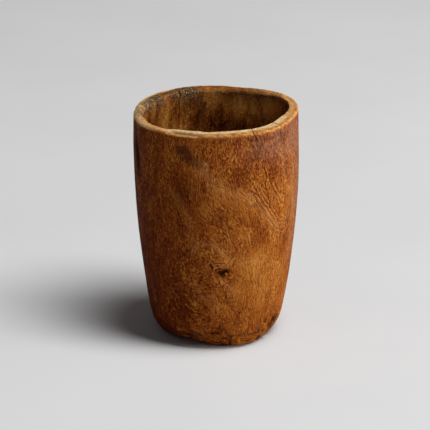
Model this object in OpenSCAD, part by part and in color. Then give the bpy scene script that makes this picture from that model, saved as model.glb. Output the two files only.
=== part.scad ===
// Dice cup hollowed from a length of trunk, closed by a let-in wooden base.
// The trunk wall is one piece. The base disc drops in through the mouth on to a
// ledge, six pegs pin it through the wall, and a disc of leather deadens the dice.
// Millimetres, +Z up, origin at the centre of the foot, front of the cup towards -Y.

/* [Cup] */
// Height from the foot to the rim
cup_height = 105; // [92:1:130]
// Mean outside radius at the waist, where the cup is widest
waist_radius = 37.5; // [30:0.1:46]
// Height of the waist above the foot
waist_height = 88; // [66:1:92]
// Radius of the long carved curve that runs down from the waist
flank_radius = 430; // [340:1:700]

/* [Wall] */
// Mean thickness of the wall at the rim
rim_wall = 4.4; // [3.4:0.1:7]
// Thickness that the wall grows to at the foot, before the heel is rounded off
foot_wall = 6.4; // [5.4:0.1:8]
// Rounding of the worn edge outside the rim
rim_round = 0.8; // [0.3:0.1:1.5]
// Rounding of the worn edge inside the mouth
mouth_round = 0.6; // [0.3:0.1:1.2]

/* [Heel] */
// Height over which the heel is rounded in to the foot
heel_height = 16; // [12:0.5:22]
// How far the rounding takes the foot in from the flank curve
heel_drop = 4.5; // [3:0.1:5.6]

/* [Base] */
// Height of the ledge that the base disc rests on
ledge_height = 5; // [4:0.5:8]
// Width of the ledge under the disc's edge
ledge_width = 6.5; // [3:0.5:8]
// Thickness of the base disc
disc_thickness = 4.5; // [3.6:0.1:8]
// Gap round the base disc in its seat
seat_clearance = 0.15; // [0.05:0.05:0.4]
// Bevel on the disc's lower edge, which lets it start into the seat
disc_bevel = 0.6; // [0.2:0.1:1]

/* [Pegs] */
// Diameter of a peg
peg_diameter = 2.2; // [1.6:0.1:2.7]
// Gap round a peg in its hole
peg_clearance = 0.03; // [0.01:0.01:0.1]
// How far a peg reaches into the base disc
peg_bite = 5; // [3:0.5:8]
// How far a peg's outer end lies below the surface of the wall
peg_recess = 0.6; // [0.3:0.1:1]
// Direction of the first peg, in degrees from +X
first_peg_angle = -51; // [-90:1:0]

/* [Leather] */
// Thickness of the leather disc laid on the base
leather_thickness = 1.8; // [1:0.1:3]
// Gap between the leather's edge and the wall
leather_gap = 0.5; // [0.2:0.1:1.5]

/* [Hidden] */
peg_count = 6;
peg_spacing = 360 / peg_count;

// Lobes that keep the carved outline from being a true circle: [count round the cup, height, direction]
rim_lobes = [[2, 0.5, 30], [3, 0.25, 16], [4, 0.7, 38], [5, 0.5, 29]];
foot_lobes = [[2, 1.8, -38], [4, 1.05, 19]];
rim_lobe_power = 2; // how quickly the rim's lobes fade downwards
foot_lobe_power = 2; // how quickly the foot's lobes fade upwards
heel_power = 3; // how tightly the heel's rounding gathers at the foot

wall_sides = 72;
heel_rings = 8;
heel_ring_power = 1.5; // crowds the heel's rings towards the foot
flank_rings = 14;
round_rings = 4;
hollow_rings = 18;
round_fn = 96;
peg_fn = 32;
cut_over = 1; // how far a cut runs past the face that it opens

seat_top = ledge_height + disc_thickness;
seat_radius = hollow_radius(seat_top);
ledge_radius = seat_radius - ledge_width;
disc_radius = seat_radius - seat_clearance;
peg_height = ledge_height + disc_thickness / 2;
peg_hole_diameter = peg_diameter + 2 * peg_clearance;
peg_inner_end = disc_radius - peg_bite;
leather_radius = seat_radius - leather_gap;

// Radius on the long curve through the waist, at a height
function flank(z) = waist_radius - flank_radius + sqrt(pow(flank_radius, 2) - pow(z - waist_height, 2));

// What is left of the heel's height above a height, as a share of it
function heel_left(z) = max(0, 1 - z / heel_height);

// What a quarter round of a given size takes off an edge, at a distance below it
function round_cut(size, below) = below >= size ? 0 : size - sqrt(pow(size, 2) - pow(size - below, 2));

// Sum of a set of lobes in one direction
function lobed(lobes, angle) = [for (l = lobes) l[1] * cos(l[0] * (angle - l[2]))] * [for (l = lobes) 1];

// Outside radius of the carved wall: the rim's lobes fade downwards and the foot's fade above the heel
function outer_radius(angle, z) = flank(z) - round_cut(rim_round, cup_height - z)
    - heel_drop * pow(heel_left(z), heel_power)
    + lobed(rim_lobes, angle) * pow(z / cup_height, rim_lobe_power)
    + lobed(foot_lobes, angle) * pow(heel_left(z), foot_lobe_power);

// Thickness of the wall before the heel is rounded off
function wall_thickness(z) = rim_wall + (foot_wall - rim_wall) * (1 - z / cup_height);

function hollow_radius(z) = flank(z) - wall_thickness(z);

// Heights of the outside rings: close together in the heel and in the rim's rounding
function outer_heights() = concat(
    [for (i = [0 : heel_rings - 1]) heel_height * pow(i / heel_rings, heel_ring_power)],
    [for (i = [0 : flank_rings]) heel_height + (cup_height - rim_round - heel_height) * i / flank_rings],
    [for (i = [1 : round_rings]) cup_height - round_step(rim_round, i)]);

// Distance below the edge of one ring in a quarter round
function round_step(size, i) = size * (1 - sin(90 * i / round_rings));

// Solid of the trunk before it is hollowed, one ring of points per height
module carved_trunk() {
    heights = outer_heights();
    rings = len(heights);
    points = [for (z = heights) for (s = [0 : wall_sides - 1])
        let (angle = 360 * s / wall_sides, r = outer_radius(angle, z)) [r * cos(angle), r * sin(angle), z]];
    foot_face = [for (s = [0 : wall_sides - 1]) s];
    rim_face = [for (s = [wall_sides - 1 : -1 : 0]) (rings - 1) * wall_sides + s];
    side_faces = [for (k = [0 : rings - 2]) for (s = [0 : wall_sides - 1])
        let (a = k * wall_sides + s, b = k * wall_sides + (s + 1) % wall_sides)
        each [[a, a + wall_sides, b], [b, a + wall_sides, b + wall_sides]]];
    polyhedron(points = points, faces = concat([foot_face, rim_face], side_faces), convexity = 4);
}

// Inside of the cup: the carved hollow, the seat bore under it and the opening in the foot
module hollow() {
    rim_radius = hollow_radius(cup_height);
    side = [for (i = [0 : hollow_rings])
        let (z = seat_top + (cup_height - mouth_round - seat_top) * i / hollow_rings) [hollow_radius(z), z]];
    mouth = [for (i = [1 : round_rings])
        let (below = round_step(mouth_round, i))
        [rim_radius + round_cut(mouth_round, below), cup_height - below]];
    above = [[rim_radius + mouth_round, cup_height + cut_over], [0, cup_height + cut_over]];
    rotate_extrude($fn = round_fn)
        polygon(concat([[0, seat_top]], side, mouth, above));
    translate([0, 0, ledge_height])
        cylinder(r = seat_radius, h = disc_thickness + cut_over / 2, $fn = round_fn);
    translate([0, 0, -cut_over])
        cylinder(r = ledge_radius, h = ledge_height + 2 * cut_over, $fn = round_fn);
}

// A rod along a peg's line, between two distances from the cup's axis
module along_peg(angle, diameter, from, to) {
    rotate([0, 0, angle])
        translate([from, 0, peg_height])
            rotate([0, 90, 0])
                cylinder(d = diameter, h = to - from, $fn = peg_fn);
}

function peg_angle(i) = first_peg_angle + peg_spacing * (i - 1);

module trunk_wall() {
    color("#8a4f22")
        difference() {
            carved_trunk();
            hollow();
            for (i = [1 : peg_count])
                along_peg(peg_angle(i), peg_hole_diameter, ledge_radius, waist_radius + cut_over);
        }
}

module base_disc() {
    color("#6b4423")
        difference() {
            translate([0, 0, ledge_height]) {
                cylinder(r1 = disc_radius - disc_bevel, r2 = disc_radius, h = disc_bevel, $fn = round_fn);
                translate([0, 0, disc_bevel])
                    cylinder(r = disc_radius, h = disc_thickness - disc_bevel, $fn = round_fn);
            }
            for (i = [1 : peg_count])
                along_peg(peg_angle(i), peg_hole_diameter, peg_inner_end, seat_radius + cut_over);
        }
}

module base_peg(i) {
    outer_end = outer_radius(peg_angle(i), peg_height) - peg_recess;
    color("#4a2a14")
        along_peg(peg_angle(i), peg_diameter, peg_inner_end, outer_end);
}

module floor_leather() {
    color("#5a3620")
        translate([0, 0, seat_top])
            cylinder(r = leather_radius, h = leather_thickness, $fn = round_fn);
}

trunk_wall();
base_disc();
floor_leather();
base_peg(1);  // base_peg_1
base_peg(2);  // base_peg_2
base_peg(3);  // base_peg_3
base_peg(4);  // base_peg_4
base_peg(5);  // base_peg_5
base_peg(6);  // base_peg_6
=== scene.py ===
"""Dice cup hollowed from a length of trunk: the visual model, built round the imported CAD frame.

Shapes are worked out in millimetres, in the cup's own frame: +Z up, foot at z = 0, front towards -Y.
Points are turned into metres when a mesh is made. Directions round the cup are degrees from +X.
"""

import math
from itertools import product

import bmesh
import bpy
import numpy as np
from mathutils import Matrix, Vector


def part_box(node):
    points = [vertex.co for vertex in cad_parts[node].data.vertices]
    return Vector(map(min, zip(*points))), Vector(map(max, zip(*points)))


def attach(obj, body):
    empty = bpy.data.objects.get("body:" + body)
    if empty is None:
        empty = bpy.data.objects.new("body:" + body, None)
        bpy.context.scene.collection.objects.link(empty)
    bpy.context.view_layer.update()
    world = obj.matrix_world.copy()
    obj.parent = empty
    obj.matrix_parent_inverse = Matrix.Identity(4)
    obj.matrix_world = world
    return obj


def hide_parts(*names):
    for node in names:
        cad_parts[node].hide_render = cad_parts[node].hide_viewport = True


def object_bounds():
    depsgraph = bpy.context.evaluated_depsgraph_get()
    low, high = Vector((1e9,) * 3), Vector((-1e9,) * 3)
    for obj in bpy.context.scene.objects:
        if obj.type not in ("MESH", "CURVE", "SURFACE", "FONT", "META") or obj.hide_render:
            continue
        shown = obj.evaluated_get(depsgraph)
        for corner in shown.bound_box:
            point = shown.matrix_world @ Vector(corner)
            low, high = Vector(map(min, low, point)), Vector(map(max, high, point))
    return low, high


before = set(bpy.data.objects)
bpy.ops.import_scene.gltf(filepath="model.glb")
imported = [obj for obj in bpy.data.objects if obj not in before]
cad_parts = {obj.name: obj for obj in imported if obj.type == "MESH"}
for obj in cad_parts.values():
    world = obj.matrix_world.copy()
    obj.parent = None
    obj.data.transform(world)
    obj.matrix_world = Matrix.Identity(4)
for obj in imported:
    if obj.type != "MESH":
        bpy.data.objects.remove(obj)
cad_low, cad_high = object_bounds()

MM = 0.001
BODY = "root"

# ---------------------------------------------------------------- sizes, from the frame and the design


def in_mm(box):
    """A box's lowest and highest corners, in mm."""
    return [np.array(corner) / MM for corner in box]


DISC_LOW, DISC_HIGH = in_mm(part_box("base_disc"))
LEATHER_LOW, LEATHER_HIGH = in_mm(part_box("floor_leather"))
PEG_LOW, PEG_HIGH = in_mm(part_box("base_peg_1"))

HEIGHT = in_mm(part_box("trunk_wall"))[1][2]
DISC_RADIUS = DISC_HIGH[0]
LEATHER_RADIUS = LEATHER_HIGH[0]
LEDGE_HEIGHT = DISC_LOW[2]
SEAT_TOP = DISC_HIGH[2]
PEG_HEIGHT = (PEG_LOW[2] + PEG_HIGH[2]) / 2
PEG_RADIUS = (PEG_HIGH[2] - PEG_LOW[2]) / 2

# The carved outline, as the design gives it
WAIST_RADIUS = 37.5
WAIST_HEIGHT = 88.0
FLANK_RADIUS = 430.0
HEEL_HEIGHT = 16.0
HEEL_DROP = 4.5
RIM_WALL = 4.4
FOOT_WALL = 6.4
SEAT_CLEARANCE = 0.15
LEDGE_WIDTH = 6.5
DISC_BEVEL = 0.6
PEG_CLEARANCE = 0.03
PEG_COUNT = 6
FIRST_PEG_ANGLE = -51.0
# Lobes: (count round the cup, height, direction)
RIM_LOBES = [(2, 0.5, 30), (3, 0.25, 16), (4, 0.7, 38), (5, 0.5, 29)]
FOOT_LOBES = [(2, 1.8, -38), (4, 1.05, 19)]

SEAT_RADIUS = DISC_RADIUS + SEAT_CLEARANCE
LEDGE_RADIUS = SEAT_RADIUS - LEDGE_WIDTH

# ---------------------------------------------------------------- camera

CAMERA_ELEVATION = 21.2
CAMERA_DISTANCE = 9.5 * HEIGHT
CAMERA_LENS = 183.15
SENSOR_WIDTH = 36
CAMERA_SHIFT = (-0.0030, 0.0100)
CLIP_START = 0.05
AIM = np.array([0.0, 0.0, HEIGHT / 2])


def add_camera():
    elevation = math.radians(CAMERA_ELEVATION)
    away = np.array([0, -math.cos(elevation), math.sin(elevation)]) * CAMERA_DISTANCE
    data = bpy.data.cameras.new("camera")
    data.lens = CAMERA_LENS
    data.sensor_width = SENSOR_WIDTH
    data.shift_x, data.shift_y = CAMERA_SHIFT
    data.clip_start = CLIP_START
    camera = bpy.data.objects.new("camera", data)
    camera.location = Vector((AIM + away) * MM)
    camera.rotation_euler = Vector(-away).to_track_quat("-Z", "Y").to_euler()
    bpy.context.scene.collection.objects.link(camera)
    bpy.context.scene.camera = camera


add_camera()

# ---------------------------------------------------------------- small tools for numbers

# The repeatable noise hashes lattice points with these primes and 32-bit mixing steps
LATTICE_PRIMES = np.array([73856093, 19349663, 83492791])
SEED_PRIME = 2654435761
MIXING = [(15, 2246822519), (13, 3266489917)]
LAST_SHIFT = 16
MASK = 0xFFFFFFFF


def smoothstep(low, high, x):
    t = np.clip((x - low) / (high - low), 0, 1)
    return t * t * (3 - 2 * t)


def lattice_value(cell, seed):
    """A repeatable value in -1..1 for each lattice point."""
    n = (cell @ LATTICE_PRIMES + seed * SEED_PRIME) & MASK
    for shift, factor in MIXING:
        n = ((n ^ (n >> shift)) * factor) & MASK
    n = n ^ (n >> LAST_SHIFT)
    return n / (MASK // 2) - 1


def noise(points, size, seed):
    """Smooth noise in -1..1 with features about `size` mm across: one size, or one an axis."""
    p = np.asarray(points) / np.asarray(size)
    cell = np.floor(p).astype(np.int64)
    f = p - cell
    f = f * f * (3 - 2 * f)
    total = 0
    for corner in product((0, 1), repeat=3):
        weight = np.prod(np.where(np.array(corner), f, 1 - f), axis=-1)
        total = total + weight * lattice_value(cell + np.array(corner), seed)
    return total


def layered(layers, points):
    """Sum of noise layers, each (height, size, seed)."""
    return sum(height * noise(points, size, seed) for height, size, seed in layers)


def turned(angle, centre):
    """Degrees from centre to angle, in -180..180."""
    return (angle - centre + 180) % 360 - 180


def around(angle, stretch):
    """How far a direction is inside a stretch of the cup's round, 0..1.

    A stretch is (middle, half angle where it is full, half angle where it ends).
    """
    middle, full, end = stretch
    return smoothstep(end, full, np.abs(turned(angle, middle)))


def along(x, span):
    """How far a number is inside a span, 0..1. A span is (start, full from, full to, end)."""
    start, full_from, full_to, end = span
    return smoothstep(start, full_from, x) * smoothstep(end, full_to, x)


def ring(angle, radius, z):
    """Points in given directions, at a radius and a height."""
    turn = np.radians(angle)
    return np.stack([radius * np.cos(turn), radius * np.sin(turn), z + 0 * turn], -1)


def smooth_curve(points, steps):
    """A Catmull-Rom curve through 2-D points."""
    p = np.array(points, float)
    p = np.vstack([2 * p[0] - p[1], p, 2 * p[-1] - p[-2]])
    t = np.linspace(0, 1, steps, endpoint=False)[:, None]
    spans = [
        0.5 * (2 * b + (c - a) * t + (2 * a - 5 * b + 4 * c - d) * t**2 + (3 * b - a - 3 * c + d) * t**3)
        for a, b, c, d in zip(p, p[1:], p[2:], p[3:])
    ]
    return np.vstack(spans + [p[-2:-1]])


# ---------------------------------------------------------------- the cup's outline

# The sliver lifted from the rim's inner half at the front left
SLIVER_ANGLE = -114.0
SLIVER_HALF_ANGLE = 15.0
SLIVER_ENDS = (0.5, 1.1)  # where it thins out and ends, as shares of its half angle
SLIVER_OVERHANG = 1.3
SLIVER_RISE = (100, 103.5)

# The front of the mouth is drawn in towards the rim
FRONT_DRAW = 1.5
DRAWN_FRONT = (-72, 42, 80)
DRAWN_HEIGHTS = (84, 104)

# The hollow leaves round for the rim's lobes from this height up, and thins the wall on two sides
HOLLOW_ROUND_HEIGHT = 20
HOLLOW_SHIFT = -0.1
HOLLOW_OVAL = 0.95


def lobed(lobes, angle):
    return sum(height * np.cos(np.radians(count * (angle - towards))) for count, height, towards in lobes)


def flank(z):
    return WAIST_RADIUS - FLANK_RADIUS + np.sqrt(FLANK_RADIUS**2 - (z - WAIST_HEIGHT) ** 2)


def across_wall(angle, centre, z):
    """Distance round the flank from a direction, in mm."""
    return np.radians(turned(angle, centre)) * flank(z)


def outer_radius(angle, z):
    heel = np.clip(1 - z / HEEL_HEIGHT, 0, None)
    lobes = lobed(RIM_LOBES, angle) * (z / HEIGHT) ** 2 + lobed(FOOT_LOBES, angle) * heel**2
    return flank(z) - HEEL_DROP * heel**3 + lobes


def front_draw(angle, z):
    """How far the front of the mouth is drawn in."""
    return FRONT_DRAW * smoothstep(*DRAWN_HEIGHTS, z) * around(angle, DRAWN_FRONT)


def sliver_share(angle):
    """Where the sliver is, 0..1, from its two ends to its middle."""
    full, end = SLIVER_ENDS
    return smoothstep(end, full, np.abs(turned(angle, SLIVER_ANGLE)) / SLIVER_HALF_ANGLE)


def inner_radius(angle, z):
    """The hand-cut hollow: round at the seat, following the rim's lobes at the mouth."""
    wall = RIM_WALL + (FOOT_WALL - RIM_WALL) * (1 - z / HEIGHT)
    rising = np.clip((z - HOLLOW_ROUND_HEIGHT) / (HEIGHT - HOLLOW_ROUND_HEIGHT), 0, 1)
    oval = HOLLOW_SHIFT + HOLLOW_OVAL * np.sin(np.radians(2 * angle))
    drawn_in = front_draw(angle, z) + SLIVER_OVERHANG * sliver_share(angle) * smoothstep(*SLIVER_RISE, z)
    return flank(z) - wall + rising * (lobed(RIM_LOBES, angle) * (z / HEIGHT) ** 2 + oval) - drawn_in


# ---------------------------------------------------------------- drying checks

# A check's run is (distance along the wall's section, direction). The distance is counted from the rim's
# outer edge: negative down the outside, growing across the rim and on down the inside.
RIM_SPAN = 4.2
# Checks: (half width, depth, darkness, run); the darkness is painted shade in the crack
CHECKS = [
    (0.2, 1.3, 0.9, [(-4.6, -59.6), (-1.5, -61.6), (0, -62.6), (RIM_SPAN, -59.6), (7, -59)]),
    (0.24, 1.2, 0.9, [(-4.8, -38.4), (-1, -38.6), (0, -37.2), (3.0, -35.2), (6.5, -35)]),
    (0.17, 0.6, 0.6, [(-37, -51), (-33, -51), (-29, -53), (-24.6, -55), (-20.4, -54.2), (-16, -56)]),
    (0.2, 1.4, 0.9, [(-13, 121), (-6, 123), (0, 122), (RIM_SPAN, 121), (7, 122.4), (11, 122), (16, 123)]),
    (0.2, 1.2, 0.9, [(-26, 40), (-17, 41), (-8, 39.5), (0, 40.4), (RIM_SPAN, 41)]),
    (0.22, 1.0, 0.8, [(-58, 171), (-50, 169.5), (-41, 170.5), (-33, 169), (-26, 169.6)]),
]
CHECK_TAPER = 2.5
CHECK_BEND = (2, 7)  # grid lines within the first angle follow a check, and beyond the second stay straight


def check_angle(run, at):
    """A check's direction at a distance along the section."""
    return np.interp(at, [distance for distance, _ in run], [angle for _, angle in run])


def check_centre(run):
    return float(np.mean([angle for _, angle in run]))


def check_groove(half_width, run, angle, at, radius):
    """How much of the check's full depth there is at each point, 0..1."""
    start, end = run[0][0], run[-1][0]
    present = along(at, (start, start + CHECK_TAPER, end - CHECK_TAPER, end))
    off = np.radians(turned(angle, check_angle(run, at))) * radius / half_width
    return present * np.clip(1 - off**2, 0, 1)


# ---------------------------------------------------------------- relief of the outside

KNOT_ANGLE = -86.2
KNOT_HEIGHT = 40.6
KNOT_HALF_WIDTH = 2.5
KNOT_TAPER = 0.85  # how fast the opening narrows below its widest height
KNOT_WIDEST = 0.6
KNOT_TOP = 0.9
KNOT_POINT = (-3.2, -2.1)
KNOT_RAGGED = [(0.25, 3.1, 1.7), (0.2, -2.9, 5.3)]  # (height, turns across, turns up)
KNOT_DEPTH = 1.4
# How dark the knot's open middle and its arms are painted: the knot's own dark wood, with painted shade in
# the hollow
KNOT_DARKNESS = 0.82
ARM_DARKNESS = 0.75
ARM_SLOPE = 1.28
ARM_FOOT = (2.4, 0.3)  # where the arms leave the opening: distance across and up
ARM_THICKNESS = 0.7
ARM_SPAN = (1.8, 2.6, 5.2, 7.6)
ARM_RIGHT_SHARE = 0.45
# The swelling of grain round the knot: height, radius, width
KNOT_COLLAR = (0.35, 4.6, 1.6)

# Carving and wear: (height, size, seed)
OUTSIDE_LAYERS = [(0.2, (20, 20, 34), 3), (0.07, (5, 5, 16), 4), (0.045, (1.7, 1.7, 4.5), 5)]
LEAN = 0.25
LEAN_HEIGHTS = (10, 30, 70, 95)
BEND_BELOW_RIM = 1.0  # the outside is met by the rim from this far below the top

# The bruised heel: knocks, a crease between its lumps, a ridged stretch and a split stretch
HEEL_BRUISED = (4, 15)
KNOCKS = [(1, (5.5, 5.5, 3.6), 6), (0.5, (2.4, 2.4, 1.7), 7)]
KNOCK_LIMIT = 0.45
KNOCK_DEPTH = 1.5
KNOCK_SWELL = 0.35
CREASE_SIZE = (7.5, 7.5, 4.5)
CREASE_WIDTH = 0.17
CREASE_HEIGHTS = (7, 13)
CREASE_DEPTH = 0.8
# Stretches of broken heel: (directions, heights where it ends and is full, depth, size, seed, threshold)
BROKEN_HEEL = [
    ((-134, -124, -84, -76), (14, 10), 1.1, (7, 7, 1.5), 8, 0.45),
    ((-50, -44, -20, -14), (15, 10), 1.4, (1.9, 1.9, 7), 9, 0.4),
]

# Dents and nicks: (direction, height, half width, half height, tilt, depth)
DENTS = [
    (-158.8, 88.5, 1.6, 9, 12, 0.9), (-151, 78, 1.2, 16, 2, 0.25),
    (-97, 8.6, 3.2, 0.8, -6, 0.6), (-88, 10.6, 2.6, 0.6, 18, 0.6),
    (-82, 7.2, 2.2, 0.8, -25, 0.5), (-77, 3.4, 0.7, 4.2, 14, 1.1),
    (-69, 7, 2.4, 1.0, 32, 0.5), (-44, 7, 0.8, 2.6, 35, 0.9),
    (-38, 10, 0.7, 3.4, 20, 0.8), (-31, 6, 1.0, 3.0, -8, 1.0),
    (-26, 10, 0.6, 3.6, -6, 0.7), (-116, 6, 3.0, 0.8, 12, 0.7),
    (-126, 9, 3.0, 0.7, -14, 0.5), (-63, 71.6, 0.7, 0.5, 30, 0.5),
    (-112, 66, 0.5, 0.6, 0, 0.3), (-97, 92, 0.6, 0.9, 20, 0.3),
    (-104, 18, 1.2, 5, 5, 0.25), (60, 70, 1.3, 9, 4, 0.4),
    (96, 33, 2.5, 1.2, -8, 0.5), (8, 22, 1.2, 6, -5, 0.4),
    (70, 6, 3.0, 0.9, 10, 0.8), (130, 7, 2.4, 1.4, -20, 0.8),
]

# Worn stretches of the foot's edge that are lifted off the table: (directions, lift)
LIFTS = [((-160, -140, -79.5, -76.5), 1.2), ((-44, -38, -20, -10), 0.9)]
LEFT_LIFT_HALVES = (-108, -98)


def rounded_edge(distance, width, depth):
    """How far an edge is worn down, at a distance in from it."""
    t = np.clip(1 - distance / width, 0, 1)
    return depth * (1 - np.sqrt(np.clip(1 - t * t, 0, 1)))


def patch(angle, z, direction, height, half_width, half_height, tilt=0):
    """A soft round patch on the wall, 0..1, its sizes in mm and its tilt in degrees."""
    u = across_wall(angle, direction, z)
    v = z - height
    c, s = math.cos(math.radians(tilt)), math.sin(math.radians(tilt))
    return np.exp(-(((u * c + v * s) / half_width) ** 2) - ((v * c - u * s) / half_height) ** 2)


def patches(table, angle, z):
    """Sum of a table's patches, each with its amount last."""
    return sum(amount * patch(angle, z, *place) for *place, amount in table)


def knot_place(angle, z):
    """Distances from the knot in mm, to the right and upwards."""
    return across_wall(angle, KNOT_ANGLE, z), z - KNOT_HEIGHT


def knot_hollow(angle, z):
    """The open middle of the knot: a ragged triangle, point down, with two broken arms that rise from it. It
    is sunk and painted dark: the knot's own dark wood, with painted shade in the hollow.
    """
    u, v = knot_place(angle, z)
    ragged = sum(height * np.sin(across * u + up * v) for height, across, up in KNOT_RAGGED)
    side = KNOT_HALF_WIDTH - np.abs(u + 0.1 * v) - np.clip(KNOT_WIDEST - v, 0, None) * KNOT_TAPER + ragged
    top = smoothstep(0.45, -0.35, v - KNOT_TOP - 0.15 * u + ragged)
    middle = smoothstep(-0.3, 0.5, side) * top * smoothstep(*KNOT_POINT, v)
    arm_across, arm_up = ARM_FOOT
    off_arm = v - arm_up - ARM_SLOPE * (np.abs(u) - arm_across) + ragged
    arms = np.exp(-((off_arm / ARM_THICKNESS) ** 2)) * along(np.abs(u), ARM_SPAN)
    broken = smoothstep(-0.8, -0.1, np.sin(2.6 * u + 0.8))
    arms = arms * np.where(u < 0, 1.0, ARM_RIGHT_SHARE) * broken
    return np.clip(np.maximum(KNOT_DARKNESS * middle, ARM_DARKNESS * arms), 0, 1)


def heel_crease(points, z):
    """The creases between the lumps of the bruised heel, 0..1."""
    full, end = CREASE_HEIGHTS
    return smoothstep(CREASE_WIDTH, 0.0, np.abs(noise(points, CREASE_SIZE, 10))) * smoothstep(end, full, z)


def heel_relief(points, angle, z):
    """How far the heel is knocked, creased and broken in."""
    full, end = HEEL_BRUISED
    knocks = sum(height * np.abs(noise(points, size, seed)) for height, size, seed in KNOCKS)
    depth = KNOCK_DEPTH * (KNOCK_LIMIT - np.clip(knocks, 0, KNOCK_LIMIT)) - KNOCK_SWELL
    depth = smoothstep(end, full, z) * depth + CREASE_DEPTH * heel_crease(points, z)
    for directions, heights, broken_depth, size, seed, threshold in BROKEN_HEEL:
        stretch = along(turned(angle, 0), directions) * smoothstep(*heights, z)
        depth = depth + broken_depth * stretch * smoothstep(0.0, threshold, noise(points, size, seed))
    return depth


def outside_relief(points, angle, z):
    """Carving, wear and knocks on the outside, in mm outwards."""
    relief = LEAN * np.cos(np.radians(angle)) * along(z, LEAN_HEIGHTS) - front_draw(angle, z)
    relief = relief + layered(OUTSIDE_LAYERS, points) - KNOT_DEPTH * knot_hollow(angle, z)
    u, v = knot_place(angle, z)
    height, radius, width = KNOT_COLLAR
    off_collar = (np.hypot(u, 1.2 * v) - radius) / width
    relief = relief + height * np.exp(-(off_collar**2)) * smoothstep(-7, 2, v)
    return relief - heel_relief(points, angle, z) - patches(DENTS, angle, z)


def foot_lift(angle):
    """How far the worn stretches of the foot's outer edge are lifted off the table."""
    direction = turned(angle, 0)
    (left, left_lift), (right, right_lift) = LIFTS
    halved = 1 - 0.5 * smoothstep(*LEFT_LIFT_HALVES, direction)
    return left_lift * along(direction, left) * halved + right_lift * along(direction, right)


# ---------------------------------------------------------------- relief of the rim and the inside

# Stretches of the rim: (middle, half angle where it is full, half angle where it ends)
BEVELLED_LEFT = (172, 12, 50)
BEVELLED_BACK = (84, 30, 62)
EVEN_FRONT = (-75, 48, 72)
LOW_LEFT = (-170, 12, 34)
LOW_RIGHT = (0, 12, 30)

BEVEL_BACK_SHARE = 0.75
# How far the outer edge is worn: everywhere, at chips, and on the two low stretches
OUTER_WEAR = 0.35
CHIP_WEAR = 0.4
LOW_LEFT_WEAR = 1.3
LOW_RIGHT_WEAR = 0.5
OUTER_WEAR_DEPTH = 0.95
# How far the inner edge is worn: everywhere, by noise, and where it is bevelled
INNER_WEAR = 0.45
INNER_NOISE = 0.15
BEVEL_WEAR = 1.9
INNER_WEAR_DEPTH = (0.8, 0.3)  # plain, and added where it is bevelled
# The worn top: mean drop, and noise layers as (height, size, seed)
WAVE_DROP = 0.1
WAVE_LAYERS = [(0.2, 13, 13), (0.12, 4.2, 14), (0.08, 1.4, 15)]
FRONT_EVENNESS = 0.75
# The slit behind the sliver: its place across the rim, its slant, its half width, its half length and depth
SLIT_PLACE = 0.46
SLIT_SLANT = 0.1
SLIT_WIDTH = 0.075
SLIT_LENGTH = (0.6, 0.95)
SLIT_OFFSET = 0.15
SLIT_DEPTH = 1.3
SLIVER_STEP = 0.9  # how far the rim outside the sliver lies below it

GOUGE_ANGLE = 11.0
GOUGE_LENGTH = 24.0
GOUGE_DEPTH = 0.2
GOUGE_STEP = 0.16
INSIDE_LAYERS = [(0.25, (12, 12, 22), 22), (0.08, (2.5, 2.5, 9), 23)]
SMOOTH_SEAT = (1, 9)  # the inside's relief fades in over these heights above the disc


def rim_edges(points, angle, t, width):
    """How far the rim's two edges are worn down at a share t across it."""
    bevel = np.clip(around(angle, BEVELLED_LEFT) + BEVEL_BACK_SHARE * around(angle, BEVELLED_BACK), 0, 1)
    chips = 0.5 + 0.5 * noise(points, 3.2, 11)
    outer = OUTER_WEAR + CHIP_WEAR * chips
    outer = outer + LOW_LEFT_WEAR * around(angle, LOW_LEFT) + LOW_RIGHT_WEAR * around(angle, LOW_RIGHT)
    inner = (INNER_WEAR + INNER_NOISE * noise(points, 4.1, 12)) * (1 - 0.7 * sliver_share(angle))
    inner = inner + BEVEL_WEAR * bevel
    plain, bevelled = INNER_WEAR_DEPTH
    drop = rounded_edge(t * width, outer, outer * OUTER_WEAR_DEPTH)
    return drop + rounded_edge((1 - t) * width, inner, inner * (plain + bevelled * bevel))


def sliver_slit(angle, t):
    """How open the slit behind the sliver is, 0..1."""
    share = turned(angle, SLIVER_ANGLE) / SLIVER_HALF_ANGLE
    off = (t - SLIT_PLACE + SLIT_SLANT * share) / SLIT_WIDTH
    full, end = SLIT_LENGTH
    return np.exp(-(off**2)) * smoothstep(end, full, np.abs(share - SLIT_OFFSET))


def rim_surface(points, angle, t):
    """Depth of the rim's surface below the full height at a share t across it, and how open the slit is."""
    width = outer_radius(angle, HEIGHT) - inner_radius(angle, HEIGHT)
    slit = sliver_slit(angle, t)
    sliver = sliver_share(angle)
    wave = (WAVE_DROP + layered(WAVE_LAYERS, points)) * (1 - FRONT_EVENNESS * around(angle, EVEN_FRONT))
    wave = wave * (1 - sliver * smoothstep(0.45, 0.6, t)) + SLIVER_STEP * sliver * smoothstep(0.52, 0.38, t)
    return rim_edges(points, angle, t, width) + np.clip(wave + SLIT_DEPTH * slit, 0, None), slit


def inside_relief(points, angle, z):
    """Gouge strokes and wear on the inside, in mm into the hollow."""
    stroke = np.round(angle / GOUGE_ANGLE)
    off = (angle / GOUGE_ANGLE - stroke) * 2
    phase = lattice_value(np.stack([stroke, 0 * stroke, 0 * stroke], -1).astype(np.int64), 21)
    step = (z / GOUGE_LENGTH + phase) % 1.0
    relief = GOUGE_DEPTH * off**2 + GOUGE_STEP * np.abs(step - 0.5) * (1 - off**2)
    start, full = SMOOTH_SEAT
    return (relief + layered(INSIDE_LAYERS, points)) * smoothstep(SEAT_TOP + start, SEAT_TOP + full, z)


# ---------------------------------------------------------------- the wall's grid

GRID_ANGLE = 1.1
KNOT_GRID_ANGLE = 0.55
KNOT_GRID_REACH = 8
# Grid lines gathered at a check, in half widths from its middle, and the stretch kept clear for them
CHECK_LINES = (-1.6, -1, -0.5, 0, 0.5, 1, 1.6)
CHECK_CLEAR = 2.2
SMALLEST_ANGLE = 0.12

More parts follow.
